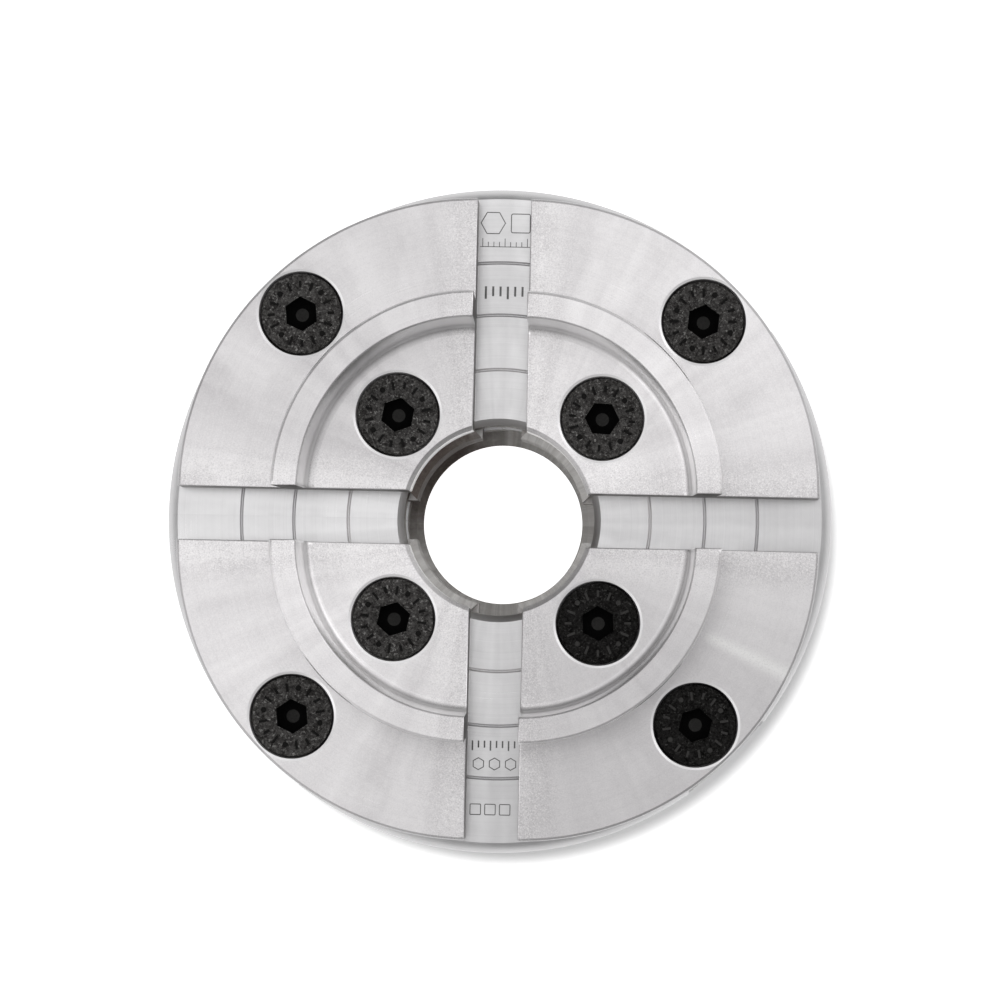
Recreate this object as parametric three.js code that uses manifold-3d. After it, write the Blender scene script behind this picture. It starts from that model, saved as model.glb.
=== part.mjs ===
// Four-jaw self-centring scroll chuck for a wood lathe.
// Millimetres, +Z up: the chuck lies on the back of its hub with the jaws up,
// the origin is the centre of the hub's back face and the spindle axis is Z.

import * as THREE from 'three';
import Module from 'manifold-3d';

// ---------------------------------------------------------------- dimensions
const BODY_R = 47.5;          // outside radius of the body
const FACE_Z = 50.0;          // front face
const BACK_Z = 11.0;          // back face of the body, under the back plate
const RIM_CHAMFER = 1.4;
const BORE_R = 13.4;          // spindle thread, modelled at its minor radius
const REGISTER_R = 14.4;      // plain register at the back of the bore
const REGISTER_Z = 6.0;
const LIP_R = 11.65;          // stop lip at the front end of the thread
const LIP_Z = 27.8;
const HUB_TOP_Z = 31.0;       // front of the stop lip
const HUB_TOP_R = 12.5;
const COUNTERBORE_R = 13.6;   // clearance bore in front of the hub ring
const FACE_BORE_R = 14.57;    // chamfered mouth of the bore in the face
const HUB_R = 17.0;           // outside of the hub, the scroll runs on it
const CAVITY_R = 39.4;        // chamber that holds the scroll
const CAVITY_Z = 38.5;
const FACE_GROOVES = [21.6, 29.4, 36.9];
const GROOVE_HALF = 0.24;
const GROOVE_DEPTH = 0.35;

const SLOT_NECK = 13.1;       // T-slots for the jaw slides
const SLOT_FLANGE = 19.3;
const SLOT_STEP_Z = 44.6;
const SLOT_TOOTH = 11.4;      // channel that lets the teeth of the slides through
const SLOT_TOOTH_Z = 35.5;
const SLOT_LIP = 0.6;         // corner break along the slot edges in the face

const SLIDE_NECK = 12.8;
const SLIDE_FLANGE = 18.9;
const SLIDE_BOTTOM_Z = 38.65;
const SLIDE_STEP_Z = 44.35;
const SLIDE_TOP_Z = 50.2;
const SLIDE_IN_R = 12.2;      // round inner end, concentric with the bore
const SLIDE_OUT_R = 46.2;
const SLIDE_MITRE = 3.95;     // 45 degree inner corners, |v| = u - mitre
const SLIDE_CHAMFER = 1.3;    // bevel on the top edge of the round inner end
const TOOTH_HALF_W = 5.2;
const TOOTH_BOTTOM_Z = 35.85;

const JAW_BOTTOM_Z = 50.25;
const JAW_FLANGE_Z = 57.0;
const JAW_RING_Z = 66.5;
const JAW_OFFSET = 5.0;       // how far the jaws stand open in the rest pose
const JAW_KERF = 0.25;        // half of the saw kerf between two jaws
const JAW_R = 42.0;
const JAW_BORE_R = 13.1;      // inner arc, measured from the chuck axis at rest
const RING_OUT_TOP = 28.2;
const RING_OUT_BASE = 27.5;   // slight dovetail on the outside of the ring
const RING_IN_TOP = 24.4;
const RING_IN_BASE = 23.9;
const COVE_R = 1.2;
const SCREW_U = [20.5, 40.4]; // jaw screws, distance from the chuck axis at rest

const SCREW_HEAD_R = 5.7;
const SCREW_HEAD_Z = 56.55;
const SCREW_SHANK_R = 2.9;
const SCREW_END_Z = 41.2;
const SCREW_HEX = 4.0;        // across flats
const SCREW_HEX_DEPTH = 2.6;
const TAP_R = 3.05;
const TAP_END_Z = 40.8;

const SCROLL_IN_R = 17.35;
const SCROLL_OUT_R = 39.0;
const PLATE_TOP_Z = 35.5;
const PLATE_BOTTOM_Z = 30.0;
const THREAD_TOP_Z = 38.25;
const PITCH = 5.0;            // spiral pitch = jaw travel for one turn
const GROOVE_W = 2.95;        // radial width of the spiral groove
const TOOTH_CLEAR = 0.22;
const TRAVEL_MIN = -3.5;
const TRAVEL_MAX = 7.5;
const SPIRAL_SEG = 48;

const PINION_Z = 21.5;        // height of the pinion axes, also the cone apex
const RING_TEETH = 60;
const PINION_TEETH = 10;
const PITCH_R2 = 36.6;        // crown gear pitch radius at the outer end
const PITCH_R1 = PITCH_R2 * PINION_TEETH / RING_TEETH;
const GEAR_IN_X = 30.2;       // inner and outer end of the toothed length
const GEAR_OUT_X = 36.6;
const JOURNAL_R = 7.7;
const JOURNAL_BORE_R = 7.85;
const JOURNAL_X0 = 37.6;
const JOURNAL_X1 = 46.2;
const STUB_R = 3.0;
const STUB_BORE_R = 3.15;
const STUB_X0 = 15.1;
const KEY_HEX = 8.0;
const KEY_DEPTH = 7.0;

const BP_Z0 = 7.0;            // back plate
const BP_Z1 = 10.9;
const BP_R = 46.8;
const BP_IN_R = 17.2;
const BP_SCREW_R = 42.7;

// -------------------------------------------------------------------- helpers
const wasm = await Module();
wasm.setup();

function toManifold(geometry, matrix) {
  let g = geometry.index ? geometry.toNonIndexed() : geometry.clone();
  if (matrix) g.applyMatrix4(matrix);
  const p = g.attributes.position;
  const map = new Map();
  const verts = [];
  const tris = [];
  const q = (x) => Math.round(x * 1e5);
  const id = [];
  for (let i = 0; i < p.count; i++) {
    const k = q(p.getX(i)) + ',' + q(p.getY(i)) + ',' + q(p.getZ(i));
    let n = map.get(k);
    if (n === undefined) {
      n = verts.length / 3;
      map.set(k, n);
      verts.push(p.getX(i), p.getY(i), p.getZ(i));
    }
    id.push(n);
  }
  const flip = matrix && matrix.determinant() < 0;
  for (let i = 0; i < id.length; i += 3) {
    const [a, b, c] = [id[i], id[i + 1], id[i + 2]];
    if (a === b || b === c || a === c) continue;
    if (flip) tris.push(a, c, b); else tris.push(a, b, c);
  }
  const m = new wasm.Manifold(new wasm.Mesh({
    numProp: 3,
    vertProperties: new Float32Array(verts),
    triVerts: new Uint32Array(tris),
  }));
  if (m.volume() < 0) throw new Error('inside-out solid');
  return m;
}

function toGeometry(m) {
  const mesh = m.getMesh();
  const g = new THREE.BufferGeometry();
  g.setAttribute('position', new THREE.BufferAttribute(new Float32Array(mesh.vertProperties), 3));
  g.setIndex(new THREE.BufferAttribute(new Uint32Array(mesh.triVerts), 1));
  return g;
}

const mat4 = () => new THREE.Matrix4();
const lift = (z) => mat4().makeTranslation(0, 0, z);
const V = (x, y) => new THREE.Vector2(x, y);

// A profile of (r, z) points turned about Z. The list runs counter-clockwise
// in the r-z plane; closed profiles with a hole return to their first point.
function turned(points, seg, phase = 0) {
  const pts = points.map(([r, z]) => V(r, z));
  const open = points[0][0] === 0;
  if (!open) pts.push(pts[0].clone());
  const g = new THREE.LatheGeometry(pts, seg, phase, Math.PI * 2);
  // the lathe turns about Y: bring Y to Z
  const m = mat4().makeRotationX(Math.PI / 2);
  const flat = g.toNonIndexed();
  flat.applyMatrix4(m);
  return solid(flat);
}

function solid(g) {
  const m = (() => {
    try { return toManifold(g); } catch (e) { return null; }
  })();
  if (m) return m;
  const p = g.attributes.position.array;
  for (let i = 0; i < p.length; i += 9) {
    for (let k = 0; k < 3; k++) {
      const t = p[i + 3 + k];
      p[i + 3 + k] = p[i + 6 + k];
      p[i + 6 + k] = t;
    }
  }
  return toManifold(g);
}

function prism(points, z0, z1) {
  const s = new THREE.Shape(points.map(([x, y]) => V(x, y)));
  const g = new THREE.ExtrudeGeometry(s, { depth: z1 - z0, bevelEnabled: false });
  return toManifold(g, lift(z0));
}

function moved(m, matrix) {
  return toManifold(toGeometry(m), matrix);
}

const spin = (deg) => mat4().makeRotationZ(deg * Math.PI / 180);
const toX = () => mat4().makeRotationY(Math.PI / 2);      // +Z becomes +X
const polygon = (n, r, phase = 0) => Array.from({ length: n }, (_, i) => {
  const a = phase + i * 2 * Math.PI / n;
  return [r * Math.cos(a), r * Math.sin(a)];
});
const arc = (r, a0, a1, n) => Array.from({ length: n + 1 }, (_, i) => {
  const a = a0 + (a1 - a0) * i / n;
  return [r * Math.cos(a), r * Math.sin(a)];
});

// ----------------------------------------------------------------- materials
const steel = (color, roughness) => () => new THREE.MeshStandardMaterial({ color, roughness, metalness: 1.0 });
const MAT = {
  body: steel(0xd6d6d9, 0.30),
  jaw: steel(0xdedcda, 0.28),
  slide: steel(0xa9a6a3, 0.38),
  scroll: steel(0x8c8a88, 0.42),
  pinion: steel(0x77767a, 0.40),
  plate: steel(0xcfcfd2, 0.34),
  black: () => new THREE.MeshStandardMaterial({ color: 0x2b2a2a, roughness: 0.55, metalness: 0.8 }),
  spring: steel(0x6d6f73, 0.35),
};

const group = new THREE.Group();
group.name = 'lathe_chuck';
function put(name, m, material) {
  const mesh = new THREE.Mesh(toGeometry(m), MAT[material]());
  mesh.name = name;
  group.add(mesh);
  return mesh;
}

// ----------------------------------------------------------------- the scroll
// Centre line of the spiral groove at polar angle a (chuck axis), when the
// scroll has moved the jaws by s: rho = R0 - PITCH * a / 2pi + s + k * PITCH
const R0 = 18.1;
const grooveRho = (a, s, k) => R0 - PITCH * a / (2 * Math.PI) + s + k * PITCH;

function spiralThread() {
  // the ridge lies half a pitch outside the groove
  const half = (PITCH - GROOVE_W) / 2;
  const rho = (a) => R0 + PITCH / 2 - PITCH * a / (2 * Math.PI);
  // a runs downwards from 0: radius grows as the angle falls
  const a0 = 2 * Math.PI * (R0 + PITCH / 2 - half - 17.45) / PITCH;
  const a1 = 2 * Math.PI * (R0 + PITCH / 2 + half - 38.9) / PITCH;
  const n = Math.round((a0 - a1) / (2 * Math.PI) * SPIRAL_SEG);
  const inner = [];
  const outer = [];
  for (let i = 0; i <= n; i++) {
    const a = a0 + (a1 - a0) * i / n;
    const c = Math.cos(a);
    const s = Math.sin(a);
    inner.push([(rho(a) - half) * c, (rho(a) - half) * s]);
    outer.push([(rho(a) + half) * c, (rho(a) + half) * s]);
  }
  return prism([...outer, ...inner.reverse()], PLATE_TOP_Z - 0.5, THREAD_TOP_Z);
}

function ringTooth(index) {
  // trapezoid tooth of the crown gear, straight-sided like a rack, every edge
  // running to the cone apex on the chuck axis at the pinion height
  const m = 2 * PITCH_R2 / RING_TEETH;
  const zp = PITCH_R1;
  const tan = Math.tan(24 * Math.PI / 180);
  const half = Math.PI * m / 4 - 0.13;
  const tip = zp - 0.80 * m;
  const root = zp + 1.5 * m;
  const halfTip = half - 0.80 * m * tan;
  const halfRoot = half + 1.5 * m * tan;
  const outline = [[-halfTip, tip], [halfTip, tip], [halfRoot, root], [-halfRoot, root]];
  const g = new THREE.ExtrudeGeometry(
    new THREE.Shape(outline.map(([y, z]) => V(y, z))),
    { depth: 1, bevelEnabled: false },
  );
  const p = g.attributes.position;
  for (let i = 0; i < p.count; i++) {
    const x = p.getZ(i) > 0.5 ? GEAR_OUT_X : GEAR_IN_X;
    const k = x / PITCH_R2;
    const y = p.getX(i) * k;
    const z = p.getY(i) * k + PINION_Z;
    p.setXYZ(i, x, y, z);
  }
  g.applyMatrix4(spin(index * 360 / RING_TEETH));
  return solid(g);
}

function scrollRing() {
  const m = 2 * PITCH_R2 / RING_TEETH;
  const rootZ = (x) => PINION_Z + (PITCH_R1 + 1.12 * m) * x / PITCH_R2;
  let s = turned([
    [SCROLL_IN_R, PLATE_BOTTOM_Z],
    [28.6, PLATE_BOTTOM_Z],
    [GEAR_IN_X, rootZ(GEAR_IN_X)],
    [GEAR_OUT_X + 0.3, rootZ(GEAR_OUT_X + 0.3)],
    [SCROLL_OUT_R, 30.2],
    [SCROLL_OUT_R, PLATE_TOP_Z],
    [SCROLL_IN_R, PLATE_TOP_Z],
  ], 60, Math.PI / 60);
  s = s.add(spiralThread());
  for (let i = 0; i < RING_TEETH; i++) s = s.add(ringTooth(i));
  return s;
}

// --------------------------------------------------------------- the pinions
function pinionOutline() {
  // involute teeth of 24 degrees at the outer end, with backlash
  const r = PITCH_R1;
  const m = 2 * r / PINION_TEETH;
  const alpha = 24 * Math.PI / 180;
  const rb = r * Math.cos(alpha);
  const inv = (a) => Math.tan(a) - a;
  const half = Math.PI / (2 * PINION_TEETH) - 0.07 / r;
  const tipR = r + 0.82 * m;
  const rootR = r - 1.10 * m;
  const at = (rad) => {
    const a = rad <= rb ? 0 : Math.acos(rb / rad);
    return half + inv(alpha) - inv(a);
  };
  const flank = [[rootR, at(rb) + 0.03], [rb + 0.02, at(rb + 0.02)], [r, at(r)], [tipR, Math.max(at(tipR), 0.03)]];
  const pts = [];
  for (let i = 0; i < PINION_TEETH; i++) {
    const c = (i + 0.5) * 2 * Math.PI / PINION_TEETH;
    for (const [rad, h] of flank) pts.push([rad * Math.cos(c - h), rad * Math.sin(c - h)]);
    for (const [rad, h] of [...flank].reverse()) pts.push([rad * Math.cos(c + h), rad * Math.sin(c + h)]);
  }
  return pts;
}

function pinion() {
  // along +X, the outline angle is measured from +Z
  const g = new THREE.ExtrudeGeometry(
    new THREE.Shape(pinionOutline().map(([x, y]) => V(x, y))),
    { depth: 1, bevelEnabled: false },
  );
  const p = g.attributes.position;
  const x0 = GEAR_IN_X - 0.4;
  const x1 = JOURNAL_X0 + 0.3;
  for (let i = 0; i < p.count; i++) {
    const x = p.getZ(i) > 0.5 ? x1 : x0;
    const k = Math.min(x, GEAR_OUT_X + 2) / PITCH_R2;
    const a = p.getX(i) * k;
    const b = p.getY(i) * k;
    p.setXYZ(i, x, b, a);
  }
  let s = solid(g);
  const blank = (list) => moved(turned(list, 24), toX());
  s = s.intersect(blank([[0, STUB_X0], [7.4, STUB_X0], [7.4, JOURNAL_X0 + 0.2], [0, JOURNAL_X0 + 0.2]]));
  s = s.add(blank([
    [0, STUB_X0], [STUB_R, STUB_X0], [STUB_R, GEAR_IN_X + 1], [0, GEAR_IN_X + 1],
  ]));
  s = s.add(blank([
    [0, JOURNAL_X0], [JOURNAL_R, JOURNAL_X0], [JOURNAL_R, 40.9], [6.0, 40.9], [6.0, 43.9],
    [JOURNAL_R, 43.9], [JOURNAL_R, JOURNAL_X1 - 0.5], [JOURNAL_R - 0.5, JOURNAL_X1], [0, JOURNAL_X1],
  ]));
  const hex = prism(polygon(6, KEY_HEX / Math.sqrt(3), Math.PI / 6), 0, KEY_DEPTH + 2);
  s = s.subtract(moved(hex, mat4().makeTranslation(JOURNAL_X1 - KEY_DEPTH, 0, 0).multiply(toX())));
  return moved(s, lift(PINION_Z));
}

// ------------------------------------------------------------------ the body
function body() {
  const grooves = [];
  for (const r of FACE_GROOVES) {
    grooves.push([r - GROOVE_HALF, FACE_Z], [r, FACE_Z - GROOVE_DEPTH], [r + GROOVE_HALF, FACE_Z]);
  }
  let s = turned([
    [REGISTER_R, 0], [HUB_R, 0],
    [HUB_R, 28.3], [16.2, 28.3], [16.2, 29.85], [HUB_R, 29.85],
    [HUB_R, CAVITY_Z], [CAVITY_R, CAVITY_Z], [CAVITY_R, BACK_Z],
    [BODY_R - 0.7, BACK_Z], [BODY_R, BACK_Z + 0.7],
    [BODY_R, FACE_Z - RIM_CHAMFER], [BODY_R - RIM_CHAMFER, FACE_Z],
    ...grooves.reverse(),
    [FACE_BORE_R, FACE_Z], [COUNTERBORE_R, FACE_Z - 0.97],
    [COUNTERBORE_R, HUB_TOP_Z], [HUB_TOP_R, HUB_TOP_Z], [LIP_R, HUB_TOP_Z - 1.0],
    [LIP_R, LIP_Z + 1.2], [BORE_R, LIP_Z],
    [BORE_R, REGISTER_Z], [REGISTER_R, REGISTER_Z],
  ], 60);
  // four T-slots on the diagonals
  const n = SLOT_NECK / 2;
  const f = SLOT_FLANGE / 2;
  const t = SLOT_TOOTH / 2;
  const profile = [
    [-t, SLOT_TOOTH_Z], [t, SLOT_TOOTH_Z], [t, CAVITY_Z - 0.05], [f, CAVITY_Z - 0.05],
    [f, SLOT_STEP_Z], [n, SLOT_STEP_Z], [n, FACE_Z - SLOT_LIP], [n + SLOT_LIP + 0.5, FACE_Z + 0.5],
    [-n - SLOT_LIP - 0.5, FACE_Z + 0.5], [-n, FACE_Z - SLOT_LIP], [-n, SLOT_STEP_Z], [-f, SLOT_STEP_Z],
    [-f, CAVITY_Z - 0.05], [-t, CAVITY_Z - 0.05],
  ];
  const flat = prism(profile, 5, 60);
  // (x, y, z) of the prism -> (length, side, height)
  const stand = mat4().set(
    0, 0, 1, 0,
    1, 0, 0, 0,
    0, 1, 0, 0,
    0, 0, 0, 1,
  );
  for (let i = 0; i < 4; i++) {
    s = s.subtract(moved(flat, spin(45 + 90 * i).multiply(stand)));
  }
  // two radial pinion bores, each with a blind pilot in the hub
  const big = moved(turned([[0, 30], [JOURNAL_BORE_R, 30], [JOURNAL_BORE_R, 60], [0, 60]], 28), toX());
  const small = moved(turned([[0, 14.9], [STUB_BORE_R, 14.9], [STUB_BORE_R, 20], [0, 20]], 14), toX());
  const pin = turned([[0, 5], [1.35, 5], [1.35, 18], [0, 18]], 12);
  for (const a of [0, 180]) {
    s = s.subtract(moved(big, spin(a).multiply(lift(PINION_Z))));
    s = s.subtract(moved(small, spin(a).multiply(lift(PINION_Z))));
    s = s.subtract(moved(pin, spin(a).multiply(mat4().makeTranslation(42.4, 0, 0))));
  }
  // holes for the back plate screws and the spindle set screws
  const tap = turned([[0, 5], [2.05, 5], [2.05, 19.5], [0, 20.5]], 12);
  for (let i = 0; i < 6; i++) {
    s = s.subtract(moved(tap, spin(30 + 60 * i).multiply(mat4().makeTranslation(BP_SCREW_R, 0, 0))));
  }
  const grub = moved(turned([[0, 9], [2.6, 9], [2.6, 20], [0, 20]], 14), toX());
  for (const a of [90, 270]) s = s.subtract(moved(grub, spin(a).multiply(lift(3.5))));
  return s;
}

// ---------------------------------------------------------------- the slides
function spiralU(v, s, k, angle, off) {
  // u of the curve rho = groove centre + off at side v, in the slide's frame
  let u = 25;
  for (let i = 0; i < 60; i++) {
    const rho = grooveRho(angle + Math.atan2(v, u + s), s, k) + off;
    const next = Math.sqrt(Math.max(rho * rho - v * v, 0)) - s;
    if (Math.abs(next - u) < 1e-10) break;
    u = next;
  }
  return u;
}

function slideTeeth(angle) {
  const list = [];
  const h = GROOVE_W / 2 - TOOTH_CLEAR;
  for (let k = -1; k < 8; k++) {
    const centre = grooveRho(angle, 0, k);
    if (centre < 19.6 || centre > 41.6) continue;
    const inner = [];
    const outer = [];
    for (let i = 0; i <= 4; i++) {
      const v = -TOOTH_HALF_W + TOOTH_HALF_W * i / 2;
      let lo = -1e9;
      let hi = 1e9;
      for (let j = 0; j <= 22; j++) {
        const s = TRAVEL_MIN + (TRAVEL_MAX - TRAVEL_MIN) * j / 22;
        // only while the tooth is in the thread of the scroll
        if (centre + s < 15.5 || centre + s > 41.5) continue;
        lo = Math.max(lo, spiralU(v, s, k, angle, -h));
        hi = Math.min(hi, spiralU(v, s, k, angle, h));
      }
      inner.push([lo, v]);
      outer.push([hi, v]);
    }
    list.push(prism([...inner.reverse(), ...outer], TOOTH_BOTTOM_Z, SLIDE_BOTTOM_Z + 0.8));
  }
  return list;
}

function slide(angleDeg) {
  const angle = angleDeg * Math.PI / 180;
  const plan = (w) => {
    const h = w / 2;
    const vi = Math.min(h, 6.4);
    const a = Math.asin(vi / SLIDE_IN_R);
    const b = Math.asin(h / SLIDE_OUT_R);
    const pts = arc(SLIDE_OUT_R, -b, b, 4);
    if (h > 6.4) pts.push([h + SLIDE_MITRE, h]);
    pts.push(...arc(SLIDE_IN_R, a, -a, 8));
    if (h > 6.4) pts.push([h + SLIDE_MITRE, -h]);
    return pts;
  };
  let s = prism(plan(SLIDE_FLANGE), SLIDE_BOTTOM_Z, SLIDE_STEP_Z);
  s = s.add(prism(plan(SLIDE_NECK), SLIDE_STEP_Z - 1, SLIDE_TOP_Z));
  for (const t of slideTeeth(angle)) s = s.add(t);
  const hole = turned([[0, TAP_END_Z], [TAP_R, TAP_END_Z], [TAP_R, 60], [0, 60]], 14);
  for (const u of SCREW_U) s = s.subtract(moved(hole, mat4().makeTranslation(u, 0, 0)));
  s = s.subtract(turned([
    [0, 44], [SLIDE_IN_R - 0.5, 44], [SLIDE_IN_R, SLIDE_TOP_Z - 1.6], [SLIDE_IN_R + SLIDE_CHAMFER, SLIDE_TOP_Z + 0.02],
    [SLIDE_IN_R + SLIDE_CHAMFER, 52], [0, 52],
  ], 56));
  return moved(s, spin(angleDeg));
}

// ------------------------------------------------------------------ the jaws
function jaw(angleDeg) {
  // turned blank about the jaw centre, then cut to one quarter
  const cove = [];
  for (let i = 1; i <= 2; i++) {
    const a = i * Math.PI / 6;
    cove.push([RING_IN_BASE - COVE_R * (1 - Math.cos(a)) , JAW_FLANGE_Z + COVE_R * (1 - Math.sin(a))]);
  }
  let s = turned([
    [6, JAW_BOTTOM_Z], [JAW_R, JAW_BOTTOM_Z], [JAW_R, JAW_FLANGE_Z - 0.5], [JAW_R - 0.5, JAW_FLANGE_Z],
    [RING_OUT_BASE, JAW_FLANGE_Z], [RING_OUT_TOP, JAW_RING_Z - 1.0], [RING_OUT_TOP - 0.3, JAW_RING_Z],
    [RING_IN_TOP, JAW_RING_Z], [RING_IN_BASE, JAW_FLANGE_Z + COVE_R],
    ...cove, [RING_IN_BASE - COVE_R, JAW_FLANGE_Z], [6, JAW_FLANGE_Z],
  ], 56);
  const quarter = prism([[JAW_KERF, JAW_KERF], [60, JAW_KERF], [60, 60], [JAW_KERF, 60]], 40, 80);
  s = s.intersect(quarter);
  s = moved(s, mat4().makeTranslation(JAW_OFFSET / Math.SQRT2, JAW_OFFSET / Math.SQRT2, 0));
  s = s.subtract(turned([
    [0, 45], [JAW_BORE_R, 45], [JAW_BORE_R, JAW_FLANGE_Z - 0.6], [JAW_BORE_R + 0.9, JAW_FLANGE_Z + 0.3], [0, JAW_FLANGE_Z + 0.3],
  ], 56));
  const seat = turned([
    [0, 45], [3.3, 45], [3.3, 53.7], [5.95, 56.35], [5.95, 60], [0, 60],
  ], 20);
  for (const u of SCREW_U) {
    s = s.subtract(moved(seat, mat4().makeTranslation(u / Math.SQRT2, u / Math.SQRT2, 0)));
  }
  return moved(s, spin(angleDeg - 45));
}

// --------------------------------------------------------------- the screws
function jawScrew() {
  const s = turned([
    [0, SCREW_END_Z], [2.4, SCREW_END_Z], [SCREW_SHANK_R, SCREW_END_Z + 0.5],
    [SCREW_SHANK_R, 53.55], [SCREW_HEAD_R, 56.3], [SCREW_HEAD_R, SCREW_HEAD_Z], [0, SCREW_HEAD_Z],
  ], 16);
  return s.subtract(prism(polygon(6, SCREW_HEX / Math.sqrt(3), 0), SCREW_HEAD_Z - SCREW_HEX_DEPTH, 60));
}

function plateScrew() {
  // countersunk from below
  const s = turned([
    [0, BP_Z0 + 0.15], [3.6, BP_Z0 + 0.15], [3.6, BP_Z0 + 0.35], [1.9, BP_Z0 + 2.05], [1.9, 19.0], [0, 19.0],
  ], 12);
  return s.subtract(prism(polygon(6, 2.5 / Math.sqrt(3), 0), 0, BP_Z0 + 1.6));
}

function backPlate() {
  let s = turned([
    [BP_IN_R, BP_Z0], [BP_R - 0.8, BP_Z0], [BP_R, BP_Z0 + 0.8], [BP_R, BP_Z1], [BP_IN_R, BP_Z1],
  ], 60);
  const hole = turned([
    [0, 0], [3.85, 0], [3.85, BP_Z0 + 0.35], [2.15, BP_Z0 + 2.05], [2.15, 20], [0, 20],
  ], 12);
  for (let i = 0; i < 6; i++) {
    s = s.subtract(moved(hole, spin(30 + 60 * i).multiply(mat4().makeTranslation(BP_SCREW_R, 0, 0))));
  }
  return s;
}

// ------------------------------------------------------------- the assembly
put('chuck_body', body(), 'body');
put('scroll_ring', scrollRing(), 'scroll');

const onePinion = pinion();
put('pinion_a', onePinion, 'pinion');
put('pinion_b', moved(onePinion, spin(180)), 'pinion');

const screw = jawScrew();
for (let i = 0; i < 4; i++) {
  const angle = 45 + 90 * i;
  put('jaw_slide_' + (i + 1), slide(angle), 'slide');
  put('jaw_' + (i + 1), jaw(angle), 'jaw');
  SCREW_U.forEach((u, j) => {
    const at = spin(angle).multiply(mat4().makeTranslation(u, 0, 0)).multiply(spin(11 + 17 * j));
    put('jaw_screw_' + (i + 1) + (j ? '_outer' : '_inner'), moved(screw, at), 'black');
  });
}

put('back_plate', backPlate(), 'plate');
const ps = plateScrew();
for (let i = 0; i < 6; i++) {
  const at = spin(30 + 60 * i).multiply(mat4().makeTranslation(BP_SCREW_R, 0, 0));
  put('back_plate_screw_' + (i + 1), moved(ps, at), 'black');
}

const pin = turned([[0, 11.1], [1.25, 11.1], [1.25, 15.2], [0, 15.2]], 12);
put('pinion_pin_a', moved(pin, mat4().makeTranslation(42.4, 0, 0)), 'spring');
put('pinion_pin_b', moved(pin, mat4().makeTranslation(-42.4, 0, 0)), 'spring');

// open retaining ring in the hub groove, under the scroll
const clip = prism([
  ...arc(19.6, 0.16, 2 * Math.PI - 0.16, 30),
  ...arc(16.4, 2 * Math.PI - 0.2, 0.2, 30),
], 28.4, 29.75);
put('scroll_circlip', moved(clip, spin(45)), 'spring');

const grubBase = turned([[0, 13.9], [1.7, 13.9], [2.4, 14.5], [2.4, 16.8], [0, 16.8]], 14);
const grub = grubBase.subtract(prism(polygon(6, 2.5 / Math.sqrt(3), 0), 15.2, 18));
for (const [name, a] of [['spindle_set_screw_a', 90], ['spindle_set_screw_b', 270]]) {
  put(name, moved(grub, spin(a).multiply(lift(3.5)).multiply(toX())), 'black');
}

export default group;
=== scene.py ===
import bpy
import math
import numpy as np
from mathutils import Matrix, Vector


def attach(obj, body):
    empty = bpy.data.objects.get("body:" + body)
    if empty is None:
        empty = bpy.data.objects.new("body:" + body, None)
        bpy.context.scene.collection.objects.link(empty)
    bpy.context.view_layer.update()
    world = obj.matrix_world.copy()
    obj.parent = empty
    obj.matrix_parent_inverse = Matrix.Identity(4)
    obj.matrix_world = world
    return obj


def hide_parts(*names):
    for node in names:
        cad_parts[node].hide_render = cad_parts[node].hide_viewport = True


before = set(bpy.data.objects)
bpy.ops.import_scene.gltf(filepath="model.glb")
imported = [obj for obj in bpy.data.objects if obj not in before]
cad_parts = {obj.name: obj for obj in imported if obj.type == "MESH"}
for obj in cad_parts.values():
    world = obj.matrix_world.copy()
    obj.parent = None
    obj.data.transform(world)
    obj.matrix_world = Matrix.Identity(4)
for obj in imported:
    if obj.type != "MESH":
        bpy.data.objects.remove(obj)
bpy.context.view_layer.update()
MM = 0.001
TAU = math.tau
S2 = math.sqrt(0.5)

scene = bpy.context.scene
scene.view_settings.view_transform = "Standard"
scene.view_settings.look = "None"
scene.view_settings.exposure = 0.0
scene.view_settings.gamma = 1.0

# ------------------------------------------------------------------ dimensions
BODY_R, FACE_Z, BACK_Z = 47.5, 50.0, 11.0
BORE_R, REG_R, REG_Z = 13.4, 14.4, 6.0
LIP_R, LIP_Z, HUB_TOP_Z, HUB_TOP_R = 11.65, 27.8, 31.0, 12.5
CB_R, FACE_BORE_R, HUB_R, CAV_R, CAV_Z = 13.6, 14.57, 17.0, 39.4, 38.5
GROOVES = (21.6, 29.4, 36.9)
JAW_OFF, JAW_KERF = 5.0, 0.25
OJ = JAW_OFF * S2
SCREW_U = (20.5, 40.4)
ANGLES = (45, 135, 225, 315)


# ------------------------------------------------------------------ mesh tools
def link(mesh, name):
    o = bpy.data.objects.new(name, mesh)
    scene.collection.objects.link(o)
    return o


def make(name, verts, faces):
    """A mesh object from points in millimetres."""
    me = bpy.data.meshes.new(name)
    me.from_pydata([(x * MM, y * MM, z * MM) for x, y, z in verts], [], faces)
    me.validate()
    return link(me, name)


def grid_solid(name, rows, close_rows=True, close_cols=True, caps=None):
    """Rows of points, all of the same length. Rows run round the section, columns round the axis."""
    n, m = len(rows), len(rows[0])
    verts = [p for row in rows for p in row]
    faces = []
    for i in range(n if close_rows else n - 1):
        for j in range(m if close_cols else m - 1):
            a, b = i * m + j, i * m + (j + 1) % m
            c, d = ((i + 1) % n) * m + (j + 1) % m, ((i + 1) % n) * m + j
            faces.append((a, b, c, d))
    if not close_cols:
        faces.append(tuple(i * m for i in range(n)))
        faces.append(tuple(i * m + m - 1 for i in reversed(range(n))))
    o = make(name, verts, faces)
    fix_normals(o)
    return o


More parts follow.
